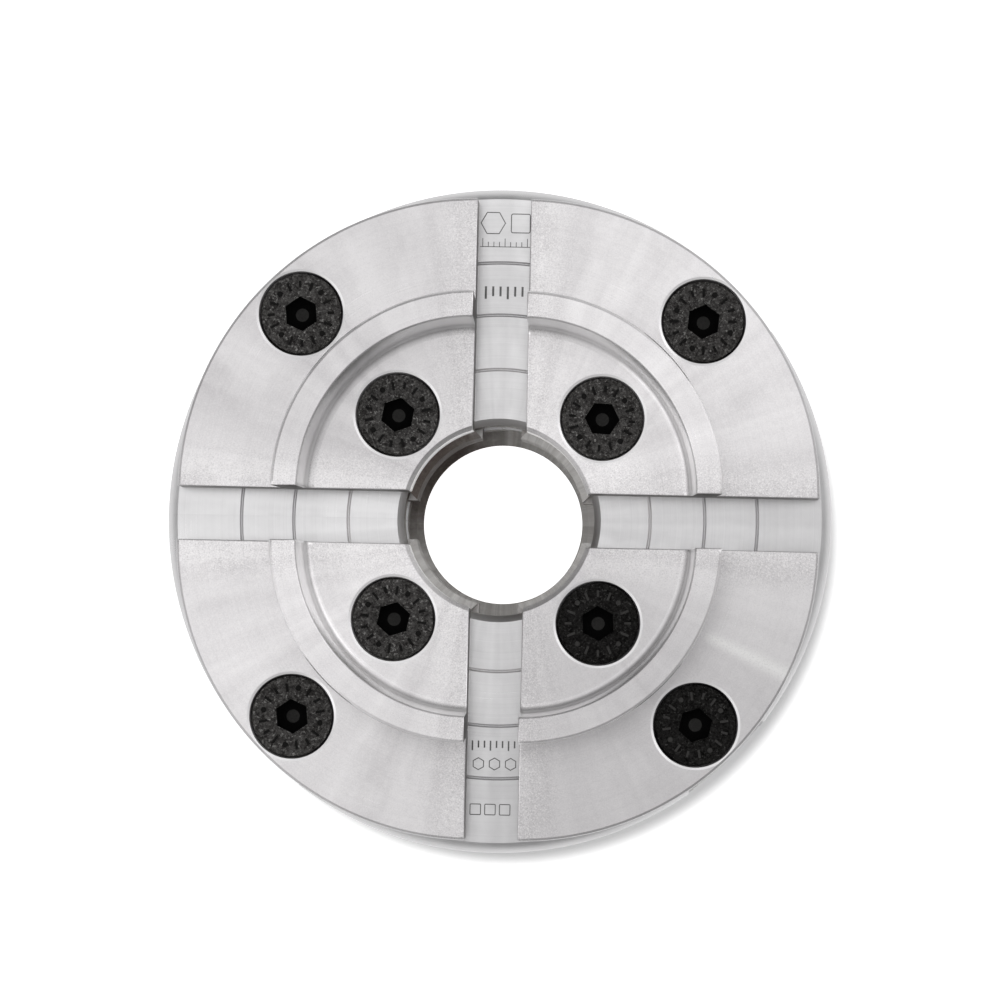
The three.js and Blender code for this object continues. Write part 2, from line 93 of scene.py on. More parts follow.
def fix_normals(o):
    import bmesh
    bm = bmesh.new()
    bm.from_mesh(o.data)
    bmesh.ops.remove_doubles(bm, verts=bm.verts, dist=1e-8)
    bmesh.ops.recalc_face_normals(bm, faces=bm.faces)
    if bm.calc_volume(signed=True) < 0:
        bmesh.ops.reverse_faces(bm, faces=bm.faces)
    bm.to_mesh(o.data)
    bm.free()


def lathe(name, profile, seg, radial=None, at=(0, 0)):
    """A closed (r, z) profile turned about Z; radial(r, z, angle) may change r. Points on the axis are merged."""
    rows = []
    for r, z in profile:
        row = []
        for j in range(seg):
            a = TAU * j / seg
            rr = radial(r, z, a) if radial else r
            row.append((at[0] + rr * math.cos(a), at[1] + rr * math.sin(a), z))
        rows.append(row)
    on_axis = profile[0][0] == 0 and profile[-1][0] == 0
    return grid_solid(name, rows, close_rows=not on_axis)


def prism(name, pts, z0, z1):
    n = len(pts)
    verts = [(x, y, z0) for x, y in pts] + [(x, y, z1) for x, y in pts]
    faces = [tuple(reversed(range(n))), tuple(range(n, 2 * n))]
    faces += [(i, (i + 1) % n, n + (i + 1) % n, n + i) for i in range(n)]
    o = make(name, verts, faces)
    fix_normals(o)
    return o


def turn(o, deg, axis="Z"):
    o.data.transform(Matrix.Rotation(math.radians(deg), 4, axis))
    return o


def shift(o, x=0, y=0, z=0):
    o.data.transform(Matrix.Translation((x * MM, y * MM, z * MM)))
    return o


def copy_of(o, name):
    c = link(o.data.copy(), name)
    return c


def drop(o):
    me = o.data
    bpy.data.objects.remove(o)
    if me.users == 0:
        bpy.data.meshes.remove(me)


def apply(o):
    dg = bpy.context.evaluated_depsgraph_get()
    me = bpy.data.meshes.new_from_object(o.evaluated_get(dg), preserve_all_data_layers=True, depsgraph=dg)
    old = o.data
    o.modifiers.clear()
    o.data = me
    if old.users == 0:
        bpy.data.meshes.remove(old)
    return o


def join(name, objs):
    """One mesh holding the loose parts of several objects (already in place)."""
    import bmesh
    bm = bmesh.new()
    for o in objs:
        bm.from_mesh(o.data)
    me = bpy.data.meshes.new(name)
    bm.to_mesh(me)
    bm.free()
    for o in objs:
        drop(o)
    return link(me, name)


def boolean(o, cutters, op="DIFFERENCE", keep=False):
    for c in cutters:
        m = o.modifiers.new("b", "BOOLEAN")
        m.operation = op
        m.solver = "EXACT"
        m.object = c
    bpy.context.view_layer.update()
    apply(o)
    if not keep:
        for c in cutters:
            drop(c)
    if len(o.data.polygons) < 12:
        raise RuntimeError("a cut left nothing of " + o.name)
    return o


def bevel(o, width, angle=35, segments=2):
    m = o.modifiers.new("bevel", "BEVEL")
    m.width = width * MM
    m.segments = segments
    m.limit_method = "ANGLE"
    m.angle_limit = math.radians(angle)
    m.use_clamp_overlap = True
    m.harden_normals = False
    bpy.context.view_layer.update()
    return apply(o)


def smooth(o, angle=28):
    me = o.data
    me.shade_smooth()
    me.set_sharp_from_angle(angle=math.radians(angle))
    for p in me.polygons:      # turned and milled flats stay flat
        if abs(p.normal.z) > 0.9995:
            p.use_smooth = False
    return o


def arc(cx, cy, r, a0, a1, n):
    return [(cx + r * math.cos(a0 + (a1 - a0) * i / n), cy + r * math.sin(a0 + (a1 - a0) * i / n)) for i in range(n + 1)]


# ------------------------------------------------------------------- materials
class Nodes:
    def __init__(self, name):
        self.mat = bpy.data.materials.new(name)
        self.mat.use_nodes = True
        self.t = self.mat.node_tree
        self.t.nodes.clear()
        self.out = self.t.nodes.new("ShaderNodeOutputMaterial")
        self.b = self.t.nodes.new("ShaderNodeBsdfPrincipled")
        self.t.links.new(self.b.outputs[0], self.out.inputs[0])

    def n(self, kind, **kw):
        node = self.t.nodes.new(kind)
        for k, v in kw.items():
            setattr(node, k, v)
        return node

    def put(self, node, key, value):
        if value is None:
            return
        if hasattr(value, "is_output") or isinstance(value, bpy.types.NodeSocket):
            self.t.links.new(value, node.inputs[key])
        else:
            node.inputs[key].default_value = value

    def m(self, op, a, b=None, c=None, clamp=False):
        node = self.n("ShaderNodeMath", operation=op, use_clamp=clamp)
        for i, v in enumerate((a, b, c)):
            self.put(node, i, v)
        return node.outputs[0]

    def vm(self, op, a, b=None, out=0):
        node = self.n("ShaderNodeVectorMath", operation=op)
        self.put(node, 0, a)
        self.put(node, 1, b)
        return node.outputs[out]

    def noise(self, vec, scale, detail=2.0, rough=0.5, dims="3D", w=None):
        node = self.n("ShaderNodeTexNoise", noise_dimensions=dims)
        if vec is not None:
            self.put(node, "Vector", vec)
        if w is not None:
            self.put(node, "W", w)
        self.put(node, "Scale", scale)
        self.put(node, "Detail", detail)
        self.put(node, "Roughness", rough)
        return node.outputs[0]

    def ramp(self, v, lo, hi, a=0.0, b=1.0):
        node = self.n("ShaderNodeMapRange", interpolation_type="SMOOTHSTEP")
        for k, x in (("Value", v), ("From Min", lo), ("From Max", hi), ("To Min", a), ("To Max", b)):
            self.put(node, k, x)
        return node.outputs[0]

    def mix(self, f, a, b):
        node = self.n("ShaderNodeMix", data_type="RGBA")
        self.put(node, 0, f)
        self.put(node, 6, a)
        self.put(node, 7, b)
        return node.outputs[2]

    def bump(self, height, strength, distance, normal=None):
        node = self.n("ShaderNodeBump")
        self.put(node, "Strength", strength)
        self.put(node, "Distance", distance)
        self.put(node, "Height", height)
        if normal is not None:
            self.put(node, "Normal", normal)
        return node.outputs[0]


def rgb(r, g, b):
    return (r, g, b, 1.0)


def turned_steel(name, color, dark, rough, aniso, centre=(0.0, 0.0), mirrored=False, line=1.0, grain=0.0, tint=0.0,
                 edge_grain=False, rust=0.0, painted_highlight_streak=None, wall_painted_light=None, diagonal_painted_shade=None):
    """Steel turned about a centre: fine circular tool marks, satin highlight drawn out across them."""
    k = Nodes(name)
    tc = k.n("ShaderNodeTexCoord").outputs["Object"]
    mm = k.vm("SCALE", tc)
    mm.node.inputs["Scale"].default_value = 1000.0
    sep = k.n("ShaderNodeSeparateXYZ")
    k.put(sep, 0, mm)
    x, y, z = sep.outputs
    if mirrored:   # four centres, one in each quadrant
        sx, sy = k.m("SIGN", x), k.m("SIGN", y)
        dx = k.m("SUBTRACT", x, k.m("MULTIPLY", sx, centre[0]))
        dy = k.m("SUBTRACT", y, k.m("MULTIPLY", sy, centre[1]))
    else:
        dx, dy = k.m("SUBTRACT", x, centre[0]), k.m("SUBTRACT", y, centre[1])
    r = k.m("SQRT", k.m("ADD", k.m("MULTIPLY", dx, dx), k.m("MULTIPLY", dy, dy)))
    # how much the surface faces up: flat faces carry circles, walls carry lines at constant height
    geo = k.n("ShaderNodeNewGeometry")
    nz = k.n("ShaderNodeSeparateXYZ")
    k.put(nz, 0, geo.outputs["Normal"])
    flat = k.ramp(k.m("ABSOLUTE", nz.outputs[2]), 0.6, 0.8)
    along = k.m("ADD", k.m("MULTIPLY", r, flat), k.m("MULTIPLY", z, k.m("SUBTRACT", 1.0, flat)))
    fine = k.noise(None, 5.2, 3.0, 0.7, "1D", along)
    mid = k.noise(None, 1.3, 2.0, 0.6, "1D", along)
    cloud = k.noise(mm, 0.11, 3.0, 0.55)
    spots = k.noise(mm, 0.9, 4.0, 0.6)
    sand = k.noise(mm, 5.5, 2.0, 0.7)
    # base colour: tool marks, slow clouding, faint spots
    f = k.m("ADD", k.m("MULTIPLY", k.m("SUBTRACT", fine, 0.5), 0.75 * line), k.m("MULTIPLY", k.m("SUBTRACT", mid, 0.5), 0.7 * line))
    f = k.m("ADD", f, k.m("MULTIPLY", k.m("SUBTRACT", cloud, 0.5), 0.9))
    f = k.m("ADD", f, k.m("MULTIPLY", k.m("SUBTRACT", spots, 0.5), 0.35))
    # painted reflection: fan-shaped light and dark rays round the turning centre
    ang = k.m("ARCTAN2", dy, dx)
    fan_reflection = k.noise(None, 2.6, 3.0, 0.6, "1D", k.m("ADD", ang, k.m("MULTIPLY", cloud, 0.25)))
    fan_reflection_fine = k.noise(None, 11.0, 2.0, 0.6, "1D", ang)
    f = k.m("ADD", f, k.m("ADD", k.m("MULTIPLY", k.m("SUBTRACT", fan_reflection, 0.5), 1.9), k.m("MULTIPLY", k.m("SUBTRACT", fan_reflection_fine, 0.5), 0.7)))
    f = k.m("ADD", f, 0.40, clamp=True)
    col = k.mix(f, rgb(*color), rgb(*dark))
    if painted_highlight_streak is not None:    # painted highlight: a narrow bright radial streak in one quadrant, standing in for a reflected light
        bx, by, ba, bw = painted_highlight_streak
        inq = k.m("MULTIPLY", k.m("GREATER_THAN", k.m("MULTIPLY", x, bx), 0.0), k.m("GREATER_THAN", k.m("MULTIPLY", y, by), 0.0))
        da = k.m("ABSOLUTE", k.m("SUBTRACT", ang, ba))
        highlight_streak = k.m("MULTIPLY", k.ramp(da, bw, 0.0), k.m("MULTIPLY", inq, k.ramp(r, 27.6, 30.5)))
        highlight_streak = k.m("MULTIPLY", highlight_streak, k.ramp(sand, 0.25, 0.60, 0.55, 1.0))
        col = k.mix(k.m("MULTIPLY", highlight_streak, 0.9), col, rgb(0.985, 0.98, 0.97))
    gmask = grain
    if edge_grain:
        near = k.m("MINIMUM", k.m("SUBTRACT", k.m("ABSOLUTE", x), centre[0]), k.m("SUBTRACT", k.m("ABSOLUTE", y), centre[1]))
        wob = k.m("MULTIPLY", k.m("SUBTRACT", k.noise(mm, 0.35, 2.0, 0.5), 0.5), 5.0)
        gmask = k.m("MULTIPLY", k.ramp(k.m("ADD", near, wob), 0.8, 8.0, 1.0, 0.30), grain)
        spark = k.ramp(sand, 0.50, 0.66)
        col = k.mix(k.m("MULTIPLY", spark, gmask), col, rgb(min(color[0] * 1.16, 1), min(color[1] * 1.16, 1), min(color[2] * 1.15, 1)))
        pit = k.ramp(sand, 0.44, 0.34)
        col = k.mix(k.m("MULTIPLY", pit, k.m("MULTIPLY", gmask, 0.55)), col, rgb(dark[0] * 0.62, dark[1] * 0.62, dark[2] * 0.60))
    if rust:    # oil stains
        warm = k.ramp(k.noise(mm, 0.45, 4.0, 0.6), 0.52, 0.75)
        col = k.mix(k.m("MULTIPLY", warm, rust), col, rgb(0.20, 0.15, 0.12))
    if diagonal_painted_shade is not None:    # painted shade: a grey darkening of the colour, strongest along one diagonal, standing in for the lighting's darker sides
        r0 = k.m("SQRT", k.m("ADD", k.m("MULTIPLY", x, x), k.m("MULTIPLY", y, y)))
        hs = k.m("DIVIDE", k.m("ADD", k.m("MULTIPLY", x, math.cos(diagonal_painted_shade[0])), k.m("MULTIPLY", y, math.sin(diagonal_painted_shade[0]))), r0)
        hq = k.ramp(k.m("MULTIPLY", hs, hs), 0.25, 0.95)
        ha = k.m("SUBTRACT", diagonal_painted_shade[1], k.m("MULTIPLY", hs, diagonal_painted_shade[2]))
        col = k.mix(k.m("MULTIPLY", hq, ha), col, rgb(0.25, 0.242, 0.25))
    if wall_painted_light is not None:    # painted light on the steep faces: walls near the centre and walls on the outer rim get their own colours, lighter or darker than the metal, as painted highlight and painted shade
        col = k.mix(flat, k.mix(k.ramp(r, 27.0, 29.5), rgb(*wall_painted_light[0]), rgb(*wall_painted_light[1])), col)
    k.put(k.b, "Base Color", col)
    k.b.inputs["Metallic"].default_value = 1.0
    rr = k.m("ADD", rough, k.m("MULTIPLY", k.m("SUBTRACT", fine, 0.5), 0.10))
    rr = k.m("ADD", rr, k.m("MULTIPLY", k.m("SUBTRACT", cloud, 0.5), 0.12), clamp=True)
    k.put(k.b, "Roughness", rr)
    k.b.inputs["Anisotropic"].default_value = aniso
    k.b.inputs["Anisotropic Rotation"].default_value = 0.25
    comb = k.n("ShaderNodeCombineXYZ")
    k.put(comb, 0, k.m("MULTIPLY", dy, -1.0))
    k.put(comb, 1, dx)
    comb.inputs[2].default_value = 0.0
    k.put(k.b, "Tangent", k.vm("NORMALIZE", comb.outputs[0]))
    h = k.m("ADD", k.m("MULTIPLY", fine, 0.6 * line), k.m("MULTIPLY", mid, 0.5 * line))
    if edge_grain or grain:
        h = k.m("ADD", h, k.m("MULTIPLY", sand, k.m("MULTIPLY", gmask, 2.2)))
    k.put(k.b, "Normal", k.bump(h, 0.55, 0.000012))
    return k.mat


def black_screw(name, gain=1.0):
    """Black oxide over a rough forged head: dark, with small bright grains where the coat is worn."""
    k = Nodes(name)
    tc = k.n("ShaderNodeTexCoord").outputs["Object"]
    mm = k.vm("SCALE", tc)
    mm.node.inputs["Scale"].default_value = 1000.0
    a = k.noise(mm, 0.9, 4.0, 0.7)
    b = k.noise(mm, 3.1, 3.0, 0.7)
    c = k.noise(mm, 1.9, 3.0, 0.65)
    col = k.mix(k.ramp(k.m("ADD", k.m("MULTIPLY", a, 0.45), k.m("MULTIPLY", b, 0.55)), 0.36, 0.60), rgb(0.030 * gain, 0.028 * gain, 0.027 * gain), rgb(0.135 * gain, 0.130 * gain, 0.126 * gain))
    worn = k.m("MULTIPLY", k.ramp(b, 0.53, 0.66), k.ramp(c, 0.44, 0.60))
    col = k.mix(worn, col, rgb(0.44 * gain, 0.43 * gain, 0.42 * gain))
    k.put(k.b, "Base Color", col)
    k.b.inputs["Metallic"].default_value = 0.0
    k.b.inputs["Specular IOR Level"].default_value = 0.03
    k.put(k.b, "Roughness", k.ramp(b, 0.3, 0.7, 0.50, 0.28))
    h = k.m("ADD", k.m("MULTIPLY", a, 1.2), k.m("ADD", k.m("MULTIPLY", b, 0.45), k.m("MULTIPLY", c, 0.9)))
    k.put(k.b, "Normal", k.bump(h, 1.0, 0.0011))
    return k.mat


def socket_black(name, color, rough):
    k = Nodes(name)
    tc = k.n("ShaderNodeTexCoord").outputs["Object"]
    mm = k.vm("SCALE", tc)
    mm.node.inputs["Scale"].default_value = 1000.0
    a = k.noise(mm, 3.0, 4.0, 0.7)
    k.put(k.b, "Base Color", k.mix(a, rgb(*[c * 0.4 for c in color]), rgb(*color)))
    k.b.inputs["Specular IOR Level"].default_value = 0.08
    k.b.inputs["Roughness"].default_value = rough
    k.put(k.b, "Normal", k.bump(a, 0.8, 0.0001))
    return k.mat


def bore_steel(name):
    """The bore's inner face: dark steel with drawn streaks; as painted shade it goes very dark towards the upper left,
    and as painted light it turns pale towards the lower right.
    """
    k = Nodes(name)
    tc = k.n("ShaderNodeTexCoord").outputs["Object"]
    mm = k.vm("SCALE", tc)
    mm.node.inputs["Scale"].default_value = 1000.0
    sep = k.n("ShaderNodeSeparateXYZ")
    k.put(sep, 0, mm)
    x, y, z = sep.outputs
    r = k.m("SQRT", k.m("ADD", k.m("MULTIPLY", x, x), k.m("MULTIPLY", y, y)))
    # painted shade and painted light: darker towards the upper left, paler towards the lower right
    painted_shade_side = k.m("DIVIDE", k.m("MULTIPLY", k.m("SUBTRACT", y, k.m("MULTIPLY", x, 1.25)), 0.625), r)
    ang = k.m("ARCTAN2", y, x)
    streak = k.noise(None, 9.0, 3.0, 0.7, "1D", ang)
    cloud = k.noise(mm, 0.30, 4.0, 0.6)
    fine = k.noise(mm, 2.2, 4.0, 0.7)
    t = k.ramp(k.m("ADD", painted_shade_side, k.m("MULTIPLY", k.m("SUBTRACT", cloud, 0.5), 0.6)), 0.30, 1.02)
    light = k.mix(streak, rgb(0.42, 0.40, 0.385), rgb(0.95, 0.94, 0.92))
    dark = k.mix(fine, rgb(0.046, 0.035, 0.030), rgb(0.205, 0.172, 0.155))
    col = k.mix(t, light, dark)
    k.put(k.b, "Base Color", col)
    k.b.inputs["Specular IOR Level"].default_value = 0.22
    k.put(k.b, "Roughness", k.ramp(fine, 0.3, 0.7, 0.60, 0.78))
    k.put(k.b, "Normal", k.bump(k.m("ADD", k.m("MULTIPLY", streak, 0.5), fine), 0.8, 0.00010))
    return k.mat


def dull_steel(name, color, rough=0.45, spot=0.4):
    k = Nodes(name)
    tc = k.n("ShaderNodeTexCoord").outputs["Object"]
    mm = k.vm("SCALE", tc)
    mm.node.inputs["Scale"].default_value = 1000.0
    a = k.noise(mm, 0.6, 4.0, 0.6)
    b = k.noise(mm, 6.0, 2.0, 0.6)
    k.put(k.b, "Base Color", k.mix(k.m("MULTIPLY", k.ramp(a, 0.35, 0.7), spot), rgb(*color), rgb(color[0] * 0.4, color[1] * 0.38, color[2] * 0.36)))
    k.b.inputs["Metallic"].default_value = 1.0
    k.put(k.b, "Roughness", k.ramp(b, 0.3, 0.7, rough - 0.08, rough + 0.1))
    k.put(k.b, "Normal", k.bump(b, 0.5, 0.00003))
    return k.mat


# body steel; its walls are painted darker than the face, most on the outer rim (painted shade)
M_BODY = turned_steel("body_turned", (0.772, 0.766, 0.772), (0.605, 0.598, 0.605), 0.31, 0.72, line=0.45,
                      wall_painted_light=((0.70, 0.69, 0.69), (0.62, 0.615, 0.62)))
# jaw steel: painted shade along one diagonal, a painted highlight streak on one jaw, painted light on the walls
M_JAW = turned_steel("jaw_turned", (0.825, 0.808, 0.815), (0.640, 0.622, 0.632), 0.31, 0.72, centre=(OJ, OJ), mirrored=True,
                     line=0.35, grain=0.8, edge_grain=True, painted_highlight_streak=(1.0, -1.0, math.radians(-25), 0.045), wall_painted_light=((0.97, 0.965, 0.965), (0.53, 0.525, 0.53)), diagonal_painted_shade=(math.radians(130), 0.17, 0.02))
# the edge round each screw seat: a lighter, less streaky steel as a painted highlight
M_SEAT_HIGHLIGHT = turned_steel("countersink_edge_painted_highlight", (0.80, 0.79, 0.795), (0.70, 0.69, 0.695), 0.30, 0.25, line=0.2)
# the sawn sides of the jaws: dull sawn steel, made darker as painted shade in the gaps
M_SAWN_SHADE = dull_steel("sawn_face_painted_shade", (0.34, 0.33, 0.33), 0.5, 0.5)
M_SLIDE = turned_steel("slide_ground", (0.62, 0.61, 0.60), (0.42, 0.40, 0.39), 0.36, 0.3, line=0.6, rust=0.35)
# rear plate steel; its outer rim is painted darker (painted shade)
M_PLATE = turned_steel("plate_turned", (0.78, 0.78, 0.79), (0.62, 0.62, 0.64), 0.33, 0.7, line=1.0,
                       wall_painted_light=((0.70, 0.69, 0.69), (0.50, 0.495, 0.50)))
M_SCROLL = dull_steel("scroll_machined", (0.40, 0.385, 0.37))
M_PINION = dull_steel("pinion_hardened", (0.34, 0.34, 0.36), 0.38)
M_SPRING = dull_steel("spring_steel", (0.30, 0.31, 0.33), 0.35)
M_BLACK = black_screw("black_oxide")
# a much darker copy of the black oxide, for the two lower-right screws: painted shade
M_BLACK_SHADED = black_screw("black_oxide_painted_shade", 0.22)
M_SOCKET = socket_black("socket_shadow", (0.0022, 0.002, 0.002), 0.8)
M_PIP = socket_black("socket_floor", (0.062, 0.060, 0.058), 0.6)
# the tops of the raised marks on the screw heads: near-black as painted shade
M_RAISED_SHADE = socket_black("raised_mark_painted_shade", (0.010, 0.0095, 0.009), 0.5)
M_BORE = bore_steel("bore_painted_shade")
M_MARK = dull_steel("etched_mark", (0.20, 0.20, 0.20), 0.5)


def paint(o, *mats):
    o.data.materials.clear()
    for m in mats:
        o.data.materials.append(m)
    for p in o.data.polygons:
        p.material_index = min(p.material_index, len(mats) - 1)
    return o


# ------------------------------------------------------------------ chuck body
def thread_r(r, z, a):
    """Spindle thread: triangular, 3.5 mm pitch, on the rows of the bore."""
    if abs(r - BORE_R) > 1e-6 or z < REG_Z + 0.5 or z > LIP_Z - 0.6:
        return r
    pitch = 3.5
    t = (z / pitch - a / TAU) % 1.0
    tri = 1 - abs(2 * t - 1)
    return r + 1.15 * min(max((tri - 0.10) / 0.80, 0.0), 1.0)


def mark_bore(o, radius, top):
    """The second material for the faces inside the bore, below its mouth."""
    for p in o.data.polygons:
        c = p.center / MM
        if math.hypot(c.x, c.y) < radius and c.z < top:
            p.material_index = 1


def build_body():
    prof = [(REG_R + 0.4, 0), (HUB_R - 0.7, 0), (HUB_R, 0.7), (HUB_R, 28.3), (16.2, 28.3), (16.2, 29.85), (HUB_R, 29.85),
            (HUB_R, CAV_Z), (CAV_R, CAV_Z), (CAV_R, BACK_Z), (BODY_R - 0.7, BACK_Z), (BODY_R, BACK_Z + 0.7),
            (BODY_R, FACE_Z - 1.55), (BODY_R - 0.10, FACE_Z - 1.30), (BODY_R - 1.22, FACE_Z - 0.13), (BODY_R - 1.45, FACE_Z)]
    for r in reversed(GROOVES):
        prof += [(r + 0.25, FACE_Z), (r + 0.03, FACE_Z - 0.33), (r - 0.03, FACE_Z - 0.33), (r - 0.25, FACE_Z)]
    prof += [(FACE_BORE_R, FACE_Z), (CB_R + 0.02, FACE_Z - 0.95), (CB_R, FACE_Z - 1.0), (CB_R, HUB_TOP_Z),
             (HUB_TOP_R + 0.1, HUB_TOP_Z), (HUB_TOP_R, HUB_TOP_Z - 0.08), (LIP_R + 0.02, HUB_TOP_Z - 0.98), (LIP_R, HUB_TOP_Z - 1.08),
             (LIP_R, LIP_Z + 1.28), (LIP_R + 0.04, LIP_Z + 1.18), (BORE_R - 0.04, LIP_Z + 0.02)]
    z = LIP_Z - 0.1
    rows = 96
    for i in range(rows + 1):
        prof.append((BORE_R, z + (REG_Z + 0.1 - z) * i / rows))
    prof += [(BORE_R + 0.1, REG_Z), (REG_R, REG_Z), (REG_R, 0.4)]
    o = lathe("body_shell", prof, 180, radial=thread_r)
    cutters = []
    n, f, t = 6.55, 9.65, 5.7
    lip = 0.35
    sect = [(-t, 35.5), (t, 35.5), (t, CAV_Z - 0.05), (f, CAV_Z - 0.05), (f, 44.6), (n, 44.6), (n, FACE_Z - lip),
            (n + lip + 0.5, FACE_Z + 0.5), (-n - lip - 0.5, FACE_Z + 0.5), (-n, FACE_Z - lip), (-n, 44.6), (-f, 44.6),
            (-f, CAV_Z - 0.05), (-t, CAV_Z - 0.05)]
    for a in ANGLES:
        c = prism("cut", sect, 5, 60)
        c.data.transform(Matrix(((0, 0, 1, 0), (1, 0, 0, 0), (0, 1, 0, 0), (0, 0, 0, 1))))
        turn(c, a)
        cutters.append(c)
        # corner breaks where the slot leaves the rim
        for s in (1, -1):
            w = prism("cut", [(46.0, s * (n - 0.6)), (50, s * (n - 0.6)), (50, s * (n + 4.0)), (46.0, s * n)][::s], 44.9, 60)
            turn(w, a)
            cutters.append(w)
    for a in (0, 180):
        for prof2, seg in (([(0, 30), (7.85, 30), (7.85, 47.1), (8.6, 47.85), (8.6, 60), (0, 60)], 64), ([(0, 14.9), (3.15, 14.9), (3.15, 20), (0, 20)], 32)):
            c = lathe("cut", prof2, seg)
            turn(c, 90, "Y")
            shift(c, z=21.5)
            turn(c, a)
            cutters.append(c)
        cutters.append(turn(shift(lathe("cut", [(0, 5), (1.35, 5), (1.35, 18), (0, 18)], 24), x=42.4), a))
    for i in range(6):
        cutters.append(turn(shift(lathe("cut", [(0, 5), (2.05, 5), (2.05, 19.5), (0, 20.5)], 24), x=42.7), 30 + 60 * i))
    for a in (90, 270):
        c = lathe("cut", [(0, 9), (2.6, 9), (2.6, 16.6), (3.0, 17.0), (3.0, 20), (0, 20)], 32)
        turn(c, 90, "Y")
        shift(c, z=3.5)
        cutters.append(turn(c, a))
    boolean(o, cutters)
    paint(o, M_BODY, M_BORE)
    mark_bore(o, 14.52, FACE_Z - 0.6)
    smooth(o)
    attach(o, "chuck")
    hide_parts("chuck_body")
    return o


def stroke(pts, w, z0, z1, closed=True):
    """A flat line of width w along points, as a closed ribbon."""
    n = len(pts)
    left, right = [], []
    for i in range(n):
        p = Vector(pts[i])
        a = Vector(pts[(i - 1) % n]) if closed or i else p
        b = Vector(pts[(i + 1) % n]) if closed or i < n - 1 else p
        d1 = (p - a).normalized() if (p - a).length > 1e-9 else (b - p).normalized()
        d2 = (b - p).normalized() if (b - p).length > 1e-9 else d1
        nrm = Vector((-(d1 + d2).y, (d1 + d2).x))
        nrm.normalize()
        k = max(nrm.dot(Vector((-d1.y, d1.x))), 0.5)
        left.append(tuple(p + nrm * (w / 2 / k)))
        right.append(tuple(p - nrm * (w / 2 / k)))
    rows = [[(x, y, z1) for x, y in left], [(x, y, z1) for x, y in right], [(x, y, z0) for x, y in right], [(x, y, z0) for x, y in left]]
    return grid_solid("stroke", rows, close_rows=True, close_cols=closed)


def rounded_rect(cx, cy, w, h, r, n=4):
    pts = []
    for sx, sy, a in ((1, 1, 0), (-1, 1, 90), (-1, -1, 180), (1, -1, 270)):
        pts += arc(cx + sx * (w / 2 - r), cy + sy * (h / 2 - r), r, math.radians(a), math.radians(a + 90), n)
    return pts


def build_marks():
    """Generic etched outlines in the gaps between the jaws: hexagons, squares and index ticks. No lettering."""
    z0, z1 = FACE_Z - 0.02, FACE_Z + 0.012
    w = 0.13
    objs = []

    def hexagon(cx, cy, r, t=0.0):
        return [(cx + r * math.cos(t + TAU * i / 6), cy + r * math.sin(t + TAU * i / 6)) for i in range(6)]
    # +Y gap: a hexagon, a square and a row of index ticks
    objs.append(stroke(hexagon(-1.75, 42.6, 1.75), w, z0, z1))
    objs.append(stroke(rounded_rect(2.2, 42.6, 2.7, 2.7, 0.25), w, z0, z1))
    objs.append(stroke([(-3.6, 39.2), (3.6, 39.2)], w * 0.8, z0, z1, closed=False))
    for i in range(9):
        cx = -3.2 + 0.8 * i
        objs.append(stroke([(cx, 39.2), (cx, 39.9 if i % 4 else 40.4)], w * 0.8, z0, z1, closed=False))
    for i in range(6):
        cx = -2.6 + 1.05 * i
        objs.append(stroke([(cx, 33.5), (cx, 32.1 if i % 3 else 31.7)], 0.30, z0, z1, closed=False))
    # -Y gap: squares, hexagons and ticks
    for i, cx in enumerate((-2.5, -0.4, 1.7)):
        objs.append(stroke(rounded_rect(cx, -41.3, 1.5, 1.5, 0.12), w, z0, z1))
    for i, cx in enumerate((-2.2, 0.1, 2.4)):
        objs.append(stroke(hexagon(cx, -34.8, 0.85, math.pi / 6), w, z0, z1))
    for i in range(8):
        cx = -3.1 + 0.86 * i
        objs.append(stroke([(cx, -31.5), (cx, -32.5 if i % 3 else -32.9)], 0.22, z0, z1, closed=False))
    o = join("face_marks", objs)
    smooth(o)
    paint(o, M_MARK)
    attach(o, "chuck")
    return o


